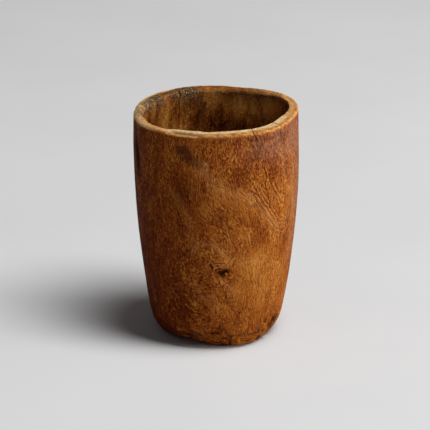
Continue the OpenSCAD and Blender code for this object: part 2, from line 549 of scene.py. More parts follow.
HEEL_ROWS = 37
HEEL_ROW_POWER = 1.15
ROW_STEP = 0.92
FINE_ROW_STEP = 0.46
FINE_ROWS = (-6, 8)  # heights from the knot
OUTSIDE_ROWS = (0.9, 1.5)  # gaps left above the heel and below the rim
RIM_ROWS = 33
# Rows of the plain zones
FOOT_ROWS = 8
INSIDE_ROWS = 59
SEAT_ROWS = 3
LEDGE_ROWS = 5

FOOT_ROUGH = 0.12
FOOT_EDGE = (0.9, 0.5)  # width and depth of the worn foot's edge
FOOT_EDGE_LIFT = 0.65
FOOT_LIFT_HEIGHT = 7


def wall_angles():
    """Directions of the grid's lines: even, finer at the knot, and gathered at each check."""
    angles = set(np.arange(-180, 180, GRID_ANGLE).round(3))
    near_knot = np.arange(KNOT_ANGLE - KNOT_GRID_REACH, KNOT_ANGLE + KNOT_GRID_REACH, KNOT_GRID_ANGLE)
    angles |= set(near_knot.round(3))
    for half_width, _, _, run in CHECKS:
        centre = check_centre(run)
        edge = math.degrees(half_width / WAIST_RADIUS)
        angles = {a for a in angles if abs(turned(a, centre)) > CHECK_CLEAR * edge}
        angles |= {round(centre + share * edge, 4) for share in CHECK_LINES}
    ordered = sorted(turned(a, 0) for a in angles)
    following = ordered[1:] + [ordered[0] + 360]
    return np.array([a for a, after in zip(ordered, following) if after - a > SMALLEST_ANGLE])


def shares(count):
    """Even shares up to 1, without 0."""
    return np.linspace(0, 1, count + 1)[1:]


def wall_rows():
    """The section's rows: (zone, share or height), once round the section from the foot's inner edge."""
    heel_gap, rim_gap = OUTSIDE_ROWS
    heel = HEEL_HEIGHT * shares(HEEL_ROWS) ** HEEL_ROW_POWER
    plain = np.arange(HEEL_HEIGHT + heel_gap, HEIGHT - rim_gap, ROW_STEP)
    fine = np.arange(KNOT_HEIGHT + FINE_ROWS[0], KNOT_HEIGHT + FINE_ROWS[1], FINE_ROW_STEP)
    plain = plain[(plain < fine[0]) | (plain > fine[-1])]
    rim = (1 - np.cos(np.pi * np.linspace(0, 1, RIM_ROWS))) / 2
    zones = {
        "foot": shares(FOOT_ROWS),
        "outside": np.sort(np.concatenate([heel, plain, fine])),
        "rim": rim,
        "inside": shares(INSIDE_ROWS),
        "seat": shares(SEAT_ROWS),
        "ledge": shares(LEDGE_ROWS),
        "opening": shares(LEDGE_ROWS),
    }
    return [(zone, t) for zone, values in zones.items() for t in values]


def foot_row(angle, t):
    outer = outer_radius(angle, 0.0)
    radius = LEDGE_RADIUS + (outer - LEDGE_RADIUS) * t
    rough = FOOT_ROUGH * (1 + noise(ring(angle, radius, 0.0), 5, 31)) * along(t, (0.2, 0.5, 0.75, 1))
    edge = rounded_edge((1 - t) * (outer - LEDGE_RADIUS), *FOOT_EDGE)
    return ring(angle, radius, edge + foot_lift(angle) * smoothstep(0.45, 1, t) + rough)


def outside_row(angle, height):
    z = height + (foot_lift(angle) + FOOT_EDGE_LIFT) * np.clip(1 - height / FOOT_LIFT_HEIGHT, 0, 1)
    radius = outer_radius(angle, z)
    return ring(angle, radius + outside_relief(ring(angle, radius, z), angle, z), z)


def rim_row(angle, t):
    """One row of the rim, and how open the slit is along it."""
    rough = ring(angle, outer_radius(angle, HEIGHT) - t * RIM_SPAN, HEIGHT)
    drop, slit = rim_surface(rough, angle, t)
    below = HEIGHT - BEND_BELOW_RIM
    outer_edge = ring(angle, outer_radius(angle, below), below)
    outer = outer_radius(angle, HEIGHT) + outside_relief(outer_edge, angle, below)
    inner = inner_radius(angle, HEIGHT) - inside_relief(rough, angle, HEIGHT)
    return ring(angle, outer + (inner - outer) * t, HEIGHT - drop), slit


def inside_row(angle, t):
    drop, _ = rim_surface(ring(angle, outer_radius(angle, HEIGHT) - RIM_SPAN, HEIGHT), angle, 1.0)
    z = (HEIGHT - drop) * (1 - t) + SEAT_TOP * t
    radius = inner_radius(angle, z)
    return ring(angle, radius - inside_relief(ring(angle, radius, z), angle, z), z)


def seat_row(angle, t):
    return ring(angle, SEAT_RADIUS, SEAT_TOP + (LEDGE_HEIGHT - SEAT_TOP) * t)


def ledge_row(angle, t):
    return ring(angle, SEAT_RADIUS - LEDGE_WIDTH * t, LEDGE_HEIGHT)


def opening_row(angle, t):
    return ring(angle, LEDGE_RADIUS, LEDGE_HEIGHT * (1 - t))


ROW_MAKERS = {
    "foot": foot_row,
    "outside": outside_row,
    "inside": inside_row,
    "seat": seat_row,
    "ledge": ledge_row,
    "opening": opening_row,
}


def section_place(zone, t):
    """A row's distance along the section and the way its surface faces, outwards and upwards."""
    if zone == "outside":
        return t - HEIGHT, (1, 0)
    if zone == "rim":
        lean = math.cos(math.pi * t)
        return t * RIM_SPAN, (lean, math.sqrt(1 - lean * lean))
    return RIM_SPAN + t * (HEIGHT - SEAT_TOP), (-1, 0)


def follow_checks(base, at):
    """The grid's directions, bent beside each check to run along it."""
    angle = base.copy()
    full, end = CHECK_BEND
    for _, _, _, run in CHECKS:
        centre = check_centre(run)
        near = smoothstep(end, full, np.abs(turned(base, centre)))
        angle = angle + near * (check_angle(run, at) - centre)
    return angle


def cut_checks(row, angle, at, facing):
    """A row with the checks cut into it, and how dark the painted shade in them makes each point."""
    outwards, upwards = facing
    dark = np.zeros(len(angle))
    for half_width, depth, darkness, run in CHECKS:
        amount = check_groove(half_width, run, angle, at, np.hypot(row[:, 0], row[:, 1]))
        sunk = depth * amount
        row = row - ring(angle, outwards * sunk, upwards * sunk)
        # Painted shade in the crack, kept where it is darkest
        dark = np.maximum(dark, amount * darkness)
    return row, dark


def build_wall_grid():
    """Points of the wall (rows, directions, 3), and what zone, check and slit each point has."""
    base = wall_angles()
    rows = wall_rows()
    shape = (len(rows), len(base))
    points = np.zeros(shape + (3,))
    zones = {"dark": np.zeros(shape), "slit": np.zeros(shape), "inside": np.zeros(shape)}
    zones["rim"] = np.full(shape, -1.0)
    for i, (zone, t) in enumerate(rows):
        carved = zone in ("outside", "rim", "inside")
        at, facing = section_place(zone, t) if carved else (-HEIGHT, None)
        angle = follow_checks(base, at)
        if zone == "rim":
            row, zones["slit"][i] = rim_row(angle, t)
            zones["rim"][i] = t
        else:
            row = ROW_MAKERS[zone](angle, t)
            zones["inside"][i] = zone not in ("foot", "outside")
        if carved:
            row, zones["dark"][i] = cut_checks(row, angle, at, facing)
        points[i] = row
    return points, zones


# ---------------------------------------------------------------- fields painted on the wall's points

# A patch is (direction, height, half width, half height, tilt, amount)

# Dark patches on the outside: stains, dark marks at dents, and painted shade in the groove at the left and
# down the left edge
STAINS_AND_SHADE = [
    (-115, 98, 3.8, 2.2, 10, 0.8), (-109, 95, 4.6, 2.8, -20, 0.95), (-103, 91, 2.6, 1.8, -30, 0.5),
    (-86, 102.5, 4.2, 1.3, 0, 0.6), (-77, 101, 3.0, 1.4, 0, 0.35), (-66, 101.5, 3.5, 1.6, 20, 0.5),
    (-52, 101.3, 6.0, 1.3, 0, 0.5), (-60, 97, 4.0, 3.4, 30, 0.4), (-35, 99.5, 3.4, 2.2, 0, 0.6),
    # The patches at -160 and -166 on this line are painted shade: in the groove at the left and down the
    # shaded left edge
    (-43, 98, 3.0, 2.0, 0, 0.4), (-160, 88.5, 2.2, 13, 12, 1.0), (-166, 60, 3.0, 60, 0, 0.55),
    (-86, 66, 3.2, 5.0, 10, 0.38), (-90, 70, 5, 6, 0, 0.22), (-113, 78, 6, 7, 10, 0.4),
    (-98, 53.5, 3.0, 2.6, 30, 0.5), (-101, 76, 3, 8, 0, 0.25), (-63, 71.4, 1.3, 1.0, 30, 0.8),
    (-94, 9.0, 4.2, 0.9, -4, 0.5), (-84, 6.0, 3.2, 1.3, 10, 0.45), (-77, 3.4, 1.0, 3.0, 12, 0.9),
    (-70, 9, 3.0, 2.2, -20, 0.4), (-26, 9, 1.0, 3.6, -6, 0.8), (-35, 5, 1.4, 2.2, 0, 0.7),
    (-51, 7.2, 2.0, 2.0, 0, 0.7), (-111, 7.2, 2.2, 1.8, 0, 0.7), (-120, 5, 9, 3.2, 0, 0.45),
    (-75, 84, 6, 7, 20, 0.3), (-64, 92, 5, 6, 0, 0.3), (-78, 27, 4, 8, 0, 0.25), (-72, 18, 3, 6, 0, 0.3),
    (20, 88, 6, 10, 10, 0.5), (75, 60, 5, 12, -5, 0.5), (110, 95, 8, 5, 0, 0.5),
    (140, 30, 5, 14, 0, 0.5), (95, 33, 5, 3, -8, 0.7), (0, 20, 3, 9, 5, 0.5),
]
# Painted shade in the creases between the heel's lumps
CREASE_SHADE = 0.4

# More golden (+) or redder and darker (-) wood on the outside; the broad dark patches from -115 round to -180
# are painted shade on the side turned from the light
TONES_AND_SHADE = [
    (-60, 36, 14, 20, 0, 0.85), (-48, 70, 10, 10, 0, 0.3), (-52, 92, 12, 8, 0, -0.85),
    (-64, 13, 9, 8, 0, -0.6), (-64, 23, 6, 5, 0, -0.5), (-64, 43, 6, 5, 0, 0.35), (-64, 53, 5, 4, 0, -0.9),
    # Painted shade: the broad dark patches at -132 here and at -115, -128, -152 and -180 below darken the
    # side turned from the light
    (-132, 22, 10, 20, 0, -1.3), (-60, 103, 26, 3.5, 0, -0.3), (-22, 100, 8, 6, 0, -0.5),
    (-50, 91, 7, 5, 0, -0.35), (-97, 72, 5, 5, 0, 0.35), (-97, 67, 6, 8, 0, 0.3), (-22, 58, 8, 16, 0, 0.5),
    (-74, 74, 9, 6, 25, 0.45), (-95, 56, 8, 5, 30, 0.35), (-82, 20, 12, 10, 0, 0.25),
    (-30, 50, 9, 40, 0, 0.2), (-115, 60, 9, 30, 0, -0.3), (-128, 20, 14, 26, 0, -0.35),
    (-112, 86, 11, 12, 0, -0.4), (-86, 66, 6, 7, 0, -0.6), (-58, 61, 5, 6, 20, -0.35),
    (-108, 45, 8, 7, 0, -0.3), (-152, 50, 16, 70, 0, -1.0), (-180, 50, 16, 70, 0, -0.6),
    (-98, 38, 6, 8, 0, -0.3), (-75, 88, 7, 6, 20, -0.3), (60, 50, 24, 40, 0, 0.35),
    (15, 40, 12, 30, 0, 0.3), (120, 60, 20, 30, 0, -0.3),
]

# The same inside the mouth; the strong light patches from 32 to 92 near the rim are painted light on the back
# right wall, which faces away from the light
TONES_AND_LIGHT_INSIDE = [
    (155, 98, 8, 6, 0, 0.3), (138, 93, 8, 7, 0, 0.3), (104, 93, 5, 4, 0, -0.8), (92, 99, 8, 4, 0, 0.5),
    (76, 96, 9, 5, 0, 0.7), (60, 97, 9, 4.5, 0, 1.4), (45, 97, 7, 4.5, 0, 1.5), (32, 100, 7, 5, 0, 1.2),
    (90, 86, 14, 4.5, 0, -0.6), (60, 86, 12, 4.5, 0, -0.4), (38, 88, 7, 5, 0, -0.3),
    (-90, 90, 30, 12, 0, 0.2), (100, 105, 15, 2.4, 0, -1.3), (76, 102, 7, 3, 0, 0.6), (52, 101, 8, 3, 0, 0.6),
]
# High enough to let the strong painted light inside the mouth through
TONE_LIGHT_AND_SHADE_LIMIT = 1.6

# Grey-brown mould under the rim, inside
MOULD = [
    (113, 102, 5.0, 3.8, 0, 1.3), (127, 104, 5.0, 2.4, 0, 0.8), (146, 103, 6.0, 3.4, 0, 1.2),
    (163, 103.5, 7.0, 3.0, 0, 1.1), (179, 104, 5.0, 2.4, 0, 0.9), (-170, 104.5, 4.5, 2.4, 0, 0.7),
    (102, 105, 8.0, 2.0, 0, 1.0), (80, 102.6, 6.5, 2.2, 0, 0.55), (57, 102.6, 6.5, 3.2, 0, 0.75),
    (41, 104, 5.0, 2.0, 0, 0.5), (70, 99, 3.0, 2.4, 20, 0.5), (101, 96, 2.6, 3.0, 0, 0.5),
    (49, 92.5, 2.8, 1.8, 0, 0.6),
]
MOULD_RAGGED = 1.4
MOULD_CLUMPS = (3, 3, 2.4)

# Greyer, pinker colour: the three patches at -12 to -18 are painted sheen of the light from the right, down
# the right edge; the two at -45 and -62 lie near the rim at the front
BLOOM_AND_SHEEN = [
    (-18, 98, 14, 10, 0, 0.9), (-14, 76, 8, 18, 0, 0.55), (-12, 52, 7, 16, 0, 0.5),
    (-45, 99, 9, 7, 0, 0.5), (-62, 98, 8, 6, 0, 0.35),
]

# Small pale chips where the surface has flaked off, and painted shade in the shallow groove at the left
CHIPS = [
    (-97, 92, 0.3, 0.6, 20, 1), (-96.2, 89.8, 0.25, 0.3, 0, 1), (-108, 66.5, 0.25, 0.4, 0, 1),
    (104, 99, 0.35, 0.5, 0, 1),
]
# Painted shade in the shallow groove at the left, where a dent is cut at the same place
GROOVE_SHADE = [(-158.8, 88.5, 2.0, 9, 12, 0.92)]

# Paler bands that follow the grain: (half width, strength, run of (direction, height))
VEILS = [
    (2.4, 0.8, [(-102, 91), (-96, 86), (-89, 81.5), (-80, 79), (-68, 76), (-58, 70), (-50, 63), (-42, 57)]),
    (1.4, 0.9, [(-104, 53), (-98, 54), (-92, 53.6), (-86.5, 51), (-80.5, 46)]),
    (0.9, 0.7, [(-73, 44.5), (-68, 45.4), (-61, 45.4), (-58, 43)]),
    (1.2, 0.6, [(-88, 37.5), (-84, 35.5), (-80, 33.2), (-76, 30)]),
    (1.8, 0.5, [(-106, 34), (-100, 29), (-93, 27), (-88, 21)]),
    (1.6, 0.6, [(-45, 102), (-41, 95), (-38, 88), (-37, 80)]),
    (1.6, 0.5, [(-120, 78), (-113, 70), (-108, 60), (-106, 50)]),
    (1.6, 0.6, [(-28, 95), (-25, 78), (-23, 60), (-24, 40)]),
]
VEIL_STEPS = 5

# Light, slightly raised fibres on the outside, each a run of (direction, height)
FIBRES = [
    [(-95, 83.5), (-92, 82.4), (-88, 81), (-84, 80.4)],
    [(-99, 54.5), (-93, 54.6), (-88, 52.5), (-84, 49.5), (-79.5, 45.5)],
    [(-49, 79), (-48.6, 74), (-50, 70)],
    [(-88.4, 38.4), (-84.5, 35.8), (-80, 33.4), (-76, 31)],
    [(-67, 78.2), (-64, 77.4), (-61, 75.8), (-58, 73)],
    [(-73, 44.2), (-68, 45.2), (-61, 45.2)],
    [(-86, 67), (-83, 62), (-80, 55), (-78, 50)],
    [(-70, 82), (-66, 78), (-61, 72), (-56, 67), (-50, 62.3), (-46, 59), (-40, 56), (-33, 55.3), (-28, 57.6)]
    + [(-26, 63), (-27, 71)],
    [(-96.5, 48.6), (-93, 45.2), (-90, 43.4)],
    [(-84, 42.8), (-80, 45.6), (-76, 49), (-73.6, 52)],
    [(-60, 103), (-58, 100.6), (-57, 98.4), (-56, 95)],
    [(-104, 30), (-100, 27.6), (-95, 26.4), (-90, 24)],
]
FIBRE_REACH = 0.95
FIBRE_FADE = 0.25
FIBRE_STEPS = 8
FIBRE_ENDS = 0.25  # share of a fibre's length over which it fades in and out
FAR = 99.0

# The swirl beside the front: its lines run parallel to this bent line
SWIRL = [(-60, 86), (-52, 76), (-38.5, 63.5), (-34.5, 67), (-33.5, 82)]
# Distances from that line over which its parallels show
SWIRL_SPAN = (1.0, 2.0, 4.0, 8.5)
FIGURE_LIMIT = 20

# How the grain parts round the knot and the swirl: (push, share of the height, softness)
KNOT_PARTING = (20, 1.0, 26)
SWIRL_PARTING = (22, 0.4, 36)
SWIRL_PLACE = (-40, 64)
# The grain leans one way above a height and the other below it: (push, reach up, reach across)
SWAY_PLACE = (-76, 70)
SWAY = (8, 11, 22)
# Wandering of the grain across and along: (mm, size, seed)
GRAIN_LEAN = [(4.0, (26, 26, 34), 41), (1.1, (8, 8, 9), 43)]
GRAIN_RISE = [(1.5, 18, 42)]

# Worn stretches of the rim's colour: (middle, half angle where it is full, half angle where it ends)
CREAM_FRONT = (-75, 40, 75)
CREAM_RIGHT = (-10, 25, 50)
CREAM_LEFT = (-176, 24, 44)
WORN_LEFT = (175, 25, 50)
DARK_BACK = (109, 42, 64)
RAGGED = [(0.5, 2.4, 51), (0.35, 6.0, 52)]


def nearest_on_run(angle, z, run):
    """Distance in mm from points on the wall to a run, the side they are on, and the share along the run."""
    scale = np.array([math.radians(WAIST_RADIUS), 1])
    u, v = turned(angle, 0) * scale[0], z
    best = np.full(np.shape(angle), FAR)
    side = np.ones(np.shape(angle))
    share = np.zeros(np.shape(angle))
    for k, (a, b) in enumerate(zip(run, run[1:])):
        start, span = np.array(a) * scale, (np.array(b) - np.array(a)) * scale
        at = np.clip(((u - start[0]) * span[0] + (v - start[1]) * span[1]) / (span @ span), 0, 1)
        du, dv = u - start[0] - at * span[0], v - start[1] - at * span[1]
        distance = np.hypot(du, dv)
        closer = distance < best
        best = np.where(closer, distance, best)
        side = np.where(closer, np.sign(span[0] * dv - span[1] * du), side)
        share = np.where(closer, (k + at) / (len(run) - 1), share)
    return best, side, share


def veil_field(angle, z):
    """How strongly the paler bands show, 0..1."""
    total = np.zeros(np.shape(angle))
    for half_width, strength, run in VEILS:
        distance, _, _ = nearest_on_run(angle, z, smooth_curve(run, VEIL_STEPS))
        total = np.maximum(total, strength * np.exp(-((distance / half_width) ** 2)))
    return total


def fibre_field(angle, z):
    """Signed distance in mm to the nearest fibre, and how strongly it shows."""
    best = np.full(np.shape(angle), FAR)
    signed, strength = best, np.zeros(np.shape(angle))
    for run in FIBRES:
        distance, side, share = nearest_on_run(angle, z, smooth_curve(run, FIBRE_STEPS))
        ends = np.clip(share / FIBRE_ENDS, 0, 1) * np.clip((1 - share) / FIBRE_ENDS, 0, 1)
        closer = distance < best
        best = np.where(closer, distance, best)
        signed = np.where(closer, distance * side, signed)
        strength = np.where(closer, ends, strength)
    return signed, strength * smoothstep(FIBRE_REACH, FIBRE_REACH - FIBRE_FADE, best)


def figure_field(angle, z):
    """Distance across the curved figure of the swirl and the knot in mm, and how strongly it shows."""
    swirl, _, _ = nearest_on_run(angle, z, SWIRL)
    swirl_on = along(swirl, SWIRL_SPAN) * smoothstep(86, 76, z)
    swirl_on = swirl_on * (1 - 0.7 * smoothstep(-36, -30, angle) * smoothstep(62, 68, z))
    u, v = knot_place(angle, z)
    knot = np.hypot(u + 0.25 * v, 1.3 * v)
    knot_on = 0.8 * along(knot, (2.2, 3.4, 5, 9)) * smoothstep(0, 4, v - 0.8 * u)
    return np.where(knot_on > swirl_on, knot, swirl), np.maximum(swirl_on, knot_on)


def parting(u, v, push, height_share, softness):
    """How far the grain is pushed aside at a place across and up from what it parts round."""
    return -u * push / (u * u + height_share * v * v + softness)


def grain_flow(points, angle, z):
    """Where each point would lie in straight-grained wood: the grain parts round the knot and the swirl."""
    radius = np.hypot(points[..., 0], points[..., 1])
    push = parting(*knot_place(angle, z), *KNOT_PARTING)
    direction, height = SWIRL_PLACE
    push = push + parting(np.radians(turned(angle, direction)) * radius, z - height, *SWIRL_PARTING)
    direction, height = SWAY_PLACE
    sway, reach_up, reach_across = SWAY
    across = np.radians(turned(angle, direction)) * radius
    push = push + sway * np.tanh((z - height) / reach_up) * np.exp(-((across / reach_across) ** 2))
    moved = angle + np.degrees((push + layered(GRAIN_LEAN, points)) / radius)
    return ring(moved, radius, z + layered(GRAIN_RISE, points))


def wear_fields(angle, z, ragged, within, share):
    """Bare wood along the rim's edges and top, and the cream of its freshest wear."""
    below = HEIGHT - z
    left = around(angle, WORN_LEFT)
    back = around(angle, DARK_BACK)
    low_left = around(angle, LOW_LEFT)
    outside = smoothstep(0.8, 0.15, below + ragged - 1.5 * low_left) * (0.6 + 0.3 * low_left)
    inside = 0.7 * smoothstep(1.0, 0.4, below + 1.3 * ragged) * (1 - 0.9 * np.maximum(left, back))
    top = smoothstep(2.2, 1.0, below + 0.6 * ragged) * (1 - 0.12 * left)
    top = top * (1 - 0.92 * back * smoothstep(0.15, 0.38, share + 0.2 * ragged))
    wear = np.where(share >= 0, top, np.where(within > 0, inside, outside))
    cream = np.clip(around(angle, CREAM_FRONT) + 0.25 * around(angle, CREAM_RIGHT), 0, 1)
    cream = cream * smoothstep(0.22, 0.5, share + 0.25 * ragged)
    cream_left = 0.62 * around(angle, CREAM_LEFT) * smoothstep(0.85, 0.5, share + 0.3 * ragged)
    inside_colour = np.maximum(0.6 * left, back) * smoothstep(0.12, 0.34, share + 0.2 * ragged)
    return wear, np.maximum(cream, cream_left) * (share >= 0), inside_colour * (share >= 0)


def wall_fields(points, zones):
    """The numbers that the wood's material reads at each point, and the point's place in straight grain."""
    angle = np.degrees(np.arctan2(points[..., 1], points[..., 0]))
    z = points[..., 2]
    within, share = zones["inside"], zones["rim"]
    outside = (1 - within) * (share < 0.3)
    ragged = layered(RAGGED, points)
    wear, cream, inside_colour = wear_fields(angle, z, ragged, within, share)
    fibre, fibre_on = fibre_field(angle, z)
    figure, figure_on = figure_field(angle, z)
    tone_light_and_shade = patches(TONES_AND_SHADE, angle, z) * (1 - within) + patches(TONES_AND_LIGHT_INSIDE, angle, z) * within
    mould = patches(MOULD, angle, z + MOULD_RAGGED * ragged)
    mould = mould * np.clip(0.8 + 0.5 * noise(points, MOULD_CLUMPS, 53), 0, 1)
    depth_in = np.where(within > 0, 1.0, smoothstep(0.12, 0.4, share + 0.15 * ragged) * (share >= 0))
    # The knot's own dark wood with painted shade in its hollow, and painted shade in the groove at the left
    hollows = np.maximum(knot_hollow(angle, z), patches(GROOVE_SHADE, angle, z)) * outside
    return {
        # Stains and dark marks, with painted shade in the left groove, down the left edge and in the heel's
        # creases
        "stain_and_shade": np.clip((patches(STAINS_AND_SHADE, angle, z) + CREASE_SHADE * heel_crease(points, z)) * outside, 0, 1),
        # Tone of the wood, with painted shade at the left outside and painted light high on the back right
        # wall inside
        "tone_light_and_shade": np.clip(tone_light_and_shade, -TONE_LIGHT_AND_SHADE_LIMIT, TONE_LIGHT_AND_SHADE_LIMIT),
        "pale": np.clip(patches(CHIPS, angle, z), 0, 1),
        "fibre": np.clip(fibre, -2, 2),
        "fibre_on": fibre_on * outside,
        "veil": veil_field(angle, z) * outside,
        # Painted sheen down the right edge, and greyer, pinker patches near the rim at the front
        "bloom_and_sheen": np.clip(patches(BLOOM_AND_SHEEN, angle, z), 0, 1) * outside,
        "figure": np.clip(figure, 0, FIGURE_LIMIT),
        "figure_on": figure_on * outside,
        "wear": np.clip(wear, 0, 1),
        "cream": np.clip(cream, 0, 1),
        "mould": np.clip(mould, 0, 1) * depth_in,
        "slit": zones["slit"],
        # Painted shade of the checks and the left groove, and the knot's dark wood with painted shade in its
        # hollow
        "dark": np.maximum(zones["dark"], hollows),
        "rough": 1 + 0.4 * smoothstep(70, 92, z),
        "inside": np.maximum(within, inside_colour),
    }, grain_flow(points, angle, z)


# ---------------------------------------------------------------- meshes

UP = np.array([0, 0, 1])


def new_object(name, vertices, faces):
    """A smooth-shaded object from points in mm."""
    mesh = bpy.data.meshes.new(name)
    mesh.from_pydata((np.asarray(vertices).reshape(-1, 3) * MM).tolist(), [], faces)
    mesh.validate()
    made = bpy.data.objects.new(name, mesh)
    bpy.context.scene.collection.objects.link(made)
    mesh.polygons.foreach_set("use_smooth", [True] * len(mesh.polygons))
    return made


def grid_faces(rows, columns, closed_rows=False):
    """Quads of a grid that closes on itself round its columns, and round its rows too if asked."""
    faces = []
    for i in range(rows if closed_rows else rows - 1):
        k = (i + 1) % rows
        for j in range(columns):
            after = (j + 1) % columns
            faces.append((i * columns + j, i * columns + after, k * columns + after, k * columns + j))
    return faces


def capped_solid(name, rings, ends):
    """A closed solid of rings of points, with a fan of triangles to a point at each end."""
    count, sides = np.shape(rings)[:2]
    vertices = np.vstack([np.reshape(rings, (-1, 3)), ends])
    low, last = count * sides, (count - 1) * sides
    faces = grid_faces(count, sides)
    faces += [(low, (j + 1) % sides, j) for j in range(sides)]
    faces += [(low + 1, last + j, last + (j + 1) % sides) for j in range(sides)]
    piece = new_object(name, vertices, faces)
    recalculate_normals(piece)
    return piece


def add_field(mesh, name, values):
    """Stores a number, or a vector, on each point of a mesh."""
    kind, key = ("FLOAT_VECTOR", "vector") if values.ndim == 2 else ("FLOAT", "value")
    mesh.attributes.new(name, kind, "POINT").data.foreach_set(key, values.astype(np.float32).ravel())


def recalculate_normals(piece):
    shape = bmesh.new()
    shape.from_mesh(piece.data)
    bmesh.ops.recalc_face_normals(shape, faces=shape.faces)
    shape.to_mesh(piece.data)
    shape.free()


def peg_angles():
    return [FIRST_PEG_ANGLE + i * 360 / PEG_COUNT for i in range(PEG_COUNT)]


def peg_axes(angle):
    """Unit vectors along a peg, outwards, and across it."""
    along_peg = np.array([math.cos(math.radians(angle)), math.sin(math.radians(angle)), 0])
    return along_peg, np.array([-along_peg[1], along_peg[0], 0])


def peg_ring(angle, radius, distance, sides):
    """A ring of points round a peg's line, at a distance from the cup's axis."""
    along_peg, across = peg_axes(angle)
    turn = np.linspace(0, 2 * math.pi, sides, endpoint=False)
    circle = np.cos(turn)[:, None] * across + np.sin(turn)[:, None] * UP
    return circle * np.reshape(radius, (-1, 1)) + along_peg * distance + UP * PEG_HEIGHT


def peg_reach(number, angle):
    """Inner and outer end of a peg, as distances from the cup's axis."""
    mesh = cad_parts[f"base_peg_{number}"].data
    reach = [np.dot(np.array(v.co) / MM, peg_axes(angle)[0]) for v in mesh.vertices]
    return min(reach), max(reach)


def cut_peg_holes(piece, start, end, sides=40):
    """Bores the six peg holes through a piece."""
    rods, faces = [], []
    rod_faces = grid_faces(2, sides) + [tuple(range(sides))[::-1], tuple(range(sides, 2 * sides))]
    for i, angle in enumerate(peg_angles()):
        rods += [peg_ring(angle, PEG_RADIUS + PEG_CLEARANCE, distance, sides) for distance in (start, end)]
        faces += [tuple(corner + 2 * sides * i for corner in face) for face in rod_faces]
    cutter = new_object("peg_cutter", np.vstack(rods), faces)
    recalculate_normals(cutter)
    modifier = piece.modifiers.new("holes", "BOOLEAN")
    modifier.object = cutter
    modifier.operation = "DIFFERENCE"
    modifier.solver = "MANIFOLD"
    evaluated = piece.evaluated_get(bpy.context.evaluated_depsgraph_get())
    mesh = bpy.data.meshes.new_from_object(evaluated)
    piece.modifiers.clear()
    piece.data = mesh
    bpy.data.objects.remove(cutter)


def sharpen(piece, degrees):
    piece.data.set_sharp_from_angle(angle=math.radians(degrees))
    return piece


def build_trunk_wall():
    points, zones = build_wall_grid()
    points = np.clip(points, np.array(cad_low) / MM, np.array(cad_high) / MM)
    rows, columns = points.shape[:2]
    wall = new_object("trunk_wall_carved", points, grid_faces(rows, columns, closed_rows=True))
    fields, flow = wall_fields(points, zones)
    for name, values in fields.items():
        add_field(wall.data, name, values.ravel())
    add_field(wall.data, "flow", flow.reshape(-1, 3))
    recalculate_normals(wall)
    cut_peg_holes(wall, LEDGE_RADIUS + 1, WAIST_RADIUS)
    return sharpen(wall, 50)


# ---------------------------------------------------------------- the disc, the leather and the pegs

DISC_SIDES = 160
DISC_ROUGH = 0.14
SAW_DEPTH = 0.05
SAW_PITCH = 2.1
DISC_LAYERS = [(0.09, (9, 9, 9), 61)]
# The drying check under the disc: direction, half width, depth, and the radii over which it runs
DISC_CHECK_ANGLE = 35
DISC_CHECK_WIDTH = 0.35
DISC_CHECK_DEPTH = 0.5
DISC_CHECK_SPAN = (4, 9, 20, 23)

LEATHER_HOLLOWS = [(0.16, (6, 6, 6), 71), (0.09, (2.4, 2.4, 2.4), 72)]
LEATHER_CREASE = (0.1, (13, 8, 9), 73, 0.09)  # depth, size, seed, width
LEATHER_SPARE = 0.45  # how far the leather's middle lies below its highest point
LEATHER_CURL = 0.3
# The leather's rounded edge: (distance in from the radius, height above the bottom or from the middle)
LEATHER_LOW_EDGE = [(0.25, 0.15), (0, 0.5)]
LEATHER_HIGH_EDGE = [(0, -0.3), (0.12, -0.08), (0.4, 0)]

PEG_SIDES = 36
PEG_FACETS = 9
PEG_FACET_DEPTH = 0.035
# A peg's rounded ends: (distance in from the end, share of the radius)
PEG_INNER_END = [(0, 0.25), (0.05, 0.7), (0.5, 0.96)]
PEG_OUTER_END = [(0.34, 0.985), (0.16, 0.9), (0.06, 0.72), (0.02, 0.5), (0, 0.26)]
PEG_BRUISE = 0.05


def disc_solid(name, section, relief):
    """A closed round solid from its section: (radius, height), from the bottom's middle to the top's."""
    turn = np.linspace(0, 360, DISC_SIDES, endpoint=False)
    rings = [relief(ring(turn, radius, z), turn, radius) for radius, z in section[1:-1]]
    ends = [relief(np.array([[0.0, 0.0, z]]), np.zeros(1), 0.0)[0] for _, z in (section[0], section[-1])]
    return capped_solid(name, rings, ends)


def build_base_disc():
    low, top = LEDGE_HEIGHT, SEAT_TOP
    section = [(0, low)] + [((DISC_RADIUS - DISC_BEVEL) * t, low) for t in shares(33)]
    section += [(DISC_RADIUS, z) for z in np.linspace(low + DISC_BEVEL, top, 6)]
    section += [(DISC_RADIUS * t, top) for t in np.linspace(1, 0, 10)[1:]]

    def relief(points, turn, radius):
        """Saw marks and a shallow drying check on the side that shows under the foot."""
        under = points[:, 2] < low + 0.01
        saw = SAW_DEPTH * np.sin(points[:, 0] * SAW_PITCH + 0.6 * np.sin(points[:, 1] * 0.11))
        off = np.radians(turned(turn, DISC_CHECK_ANGLE + 3 * math.sin(radius * 0.5))) * radius
        split = np.exp(-((off / DISC_CHECK_WIDTH) ** 2)) * along(radius, DISC_CHECK_SPAN)
        raised = DISC_ROUGH + saw + layered(DISC_LAYERS, points) + DISC_CHECK_DEPTH * split
        return points + UP * (under * raised)[:, None]

    disc = disc_solid("base_disc_sawn", section, relief)
    cut_peg_holes(disc, peg_reach(1, FIRST_PEG_ANGLE)[0], DISC_RADIUS + 2)
    return sharpen(disc, 35)


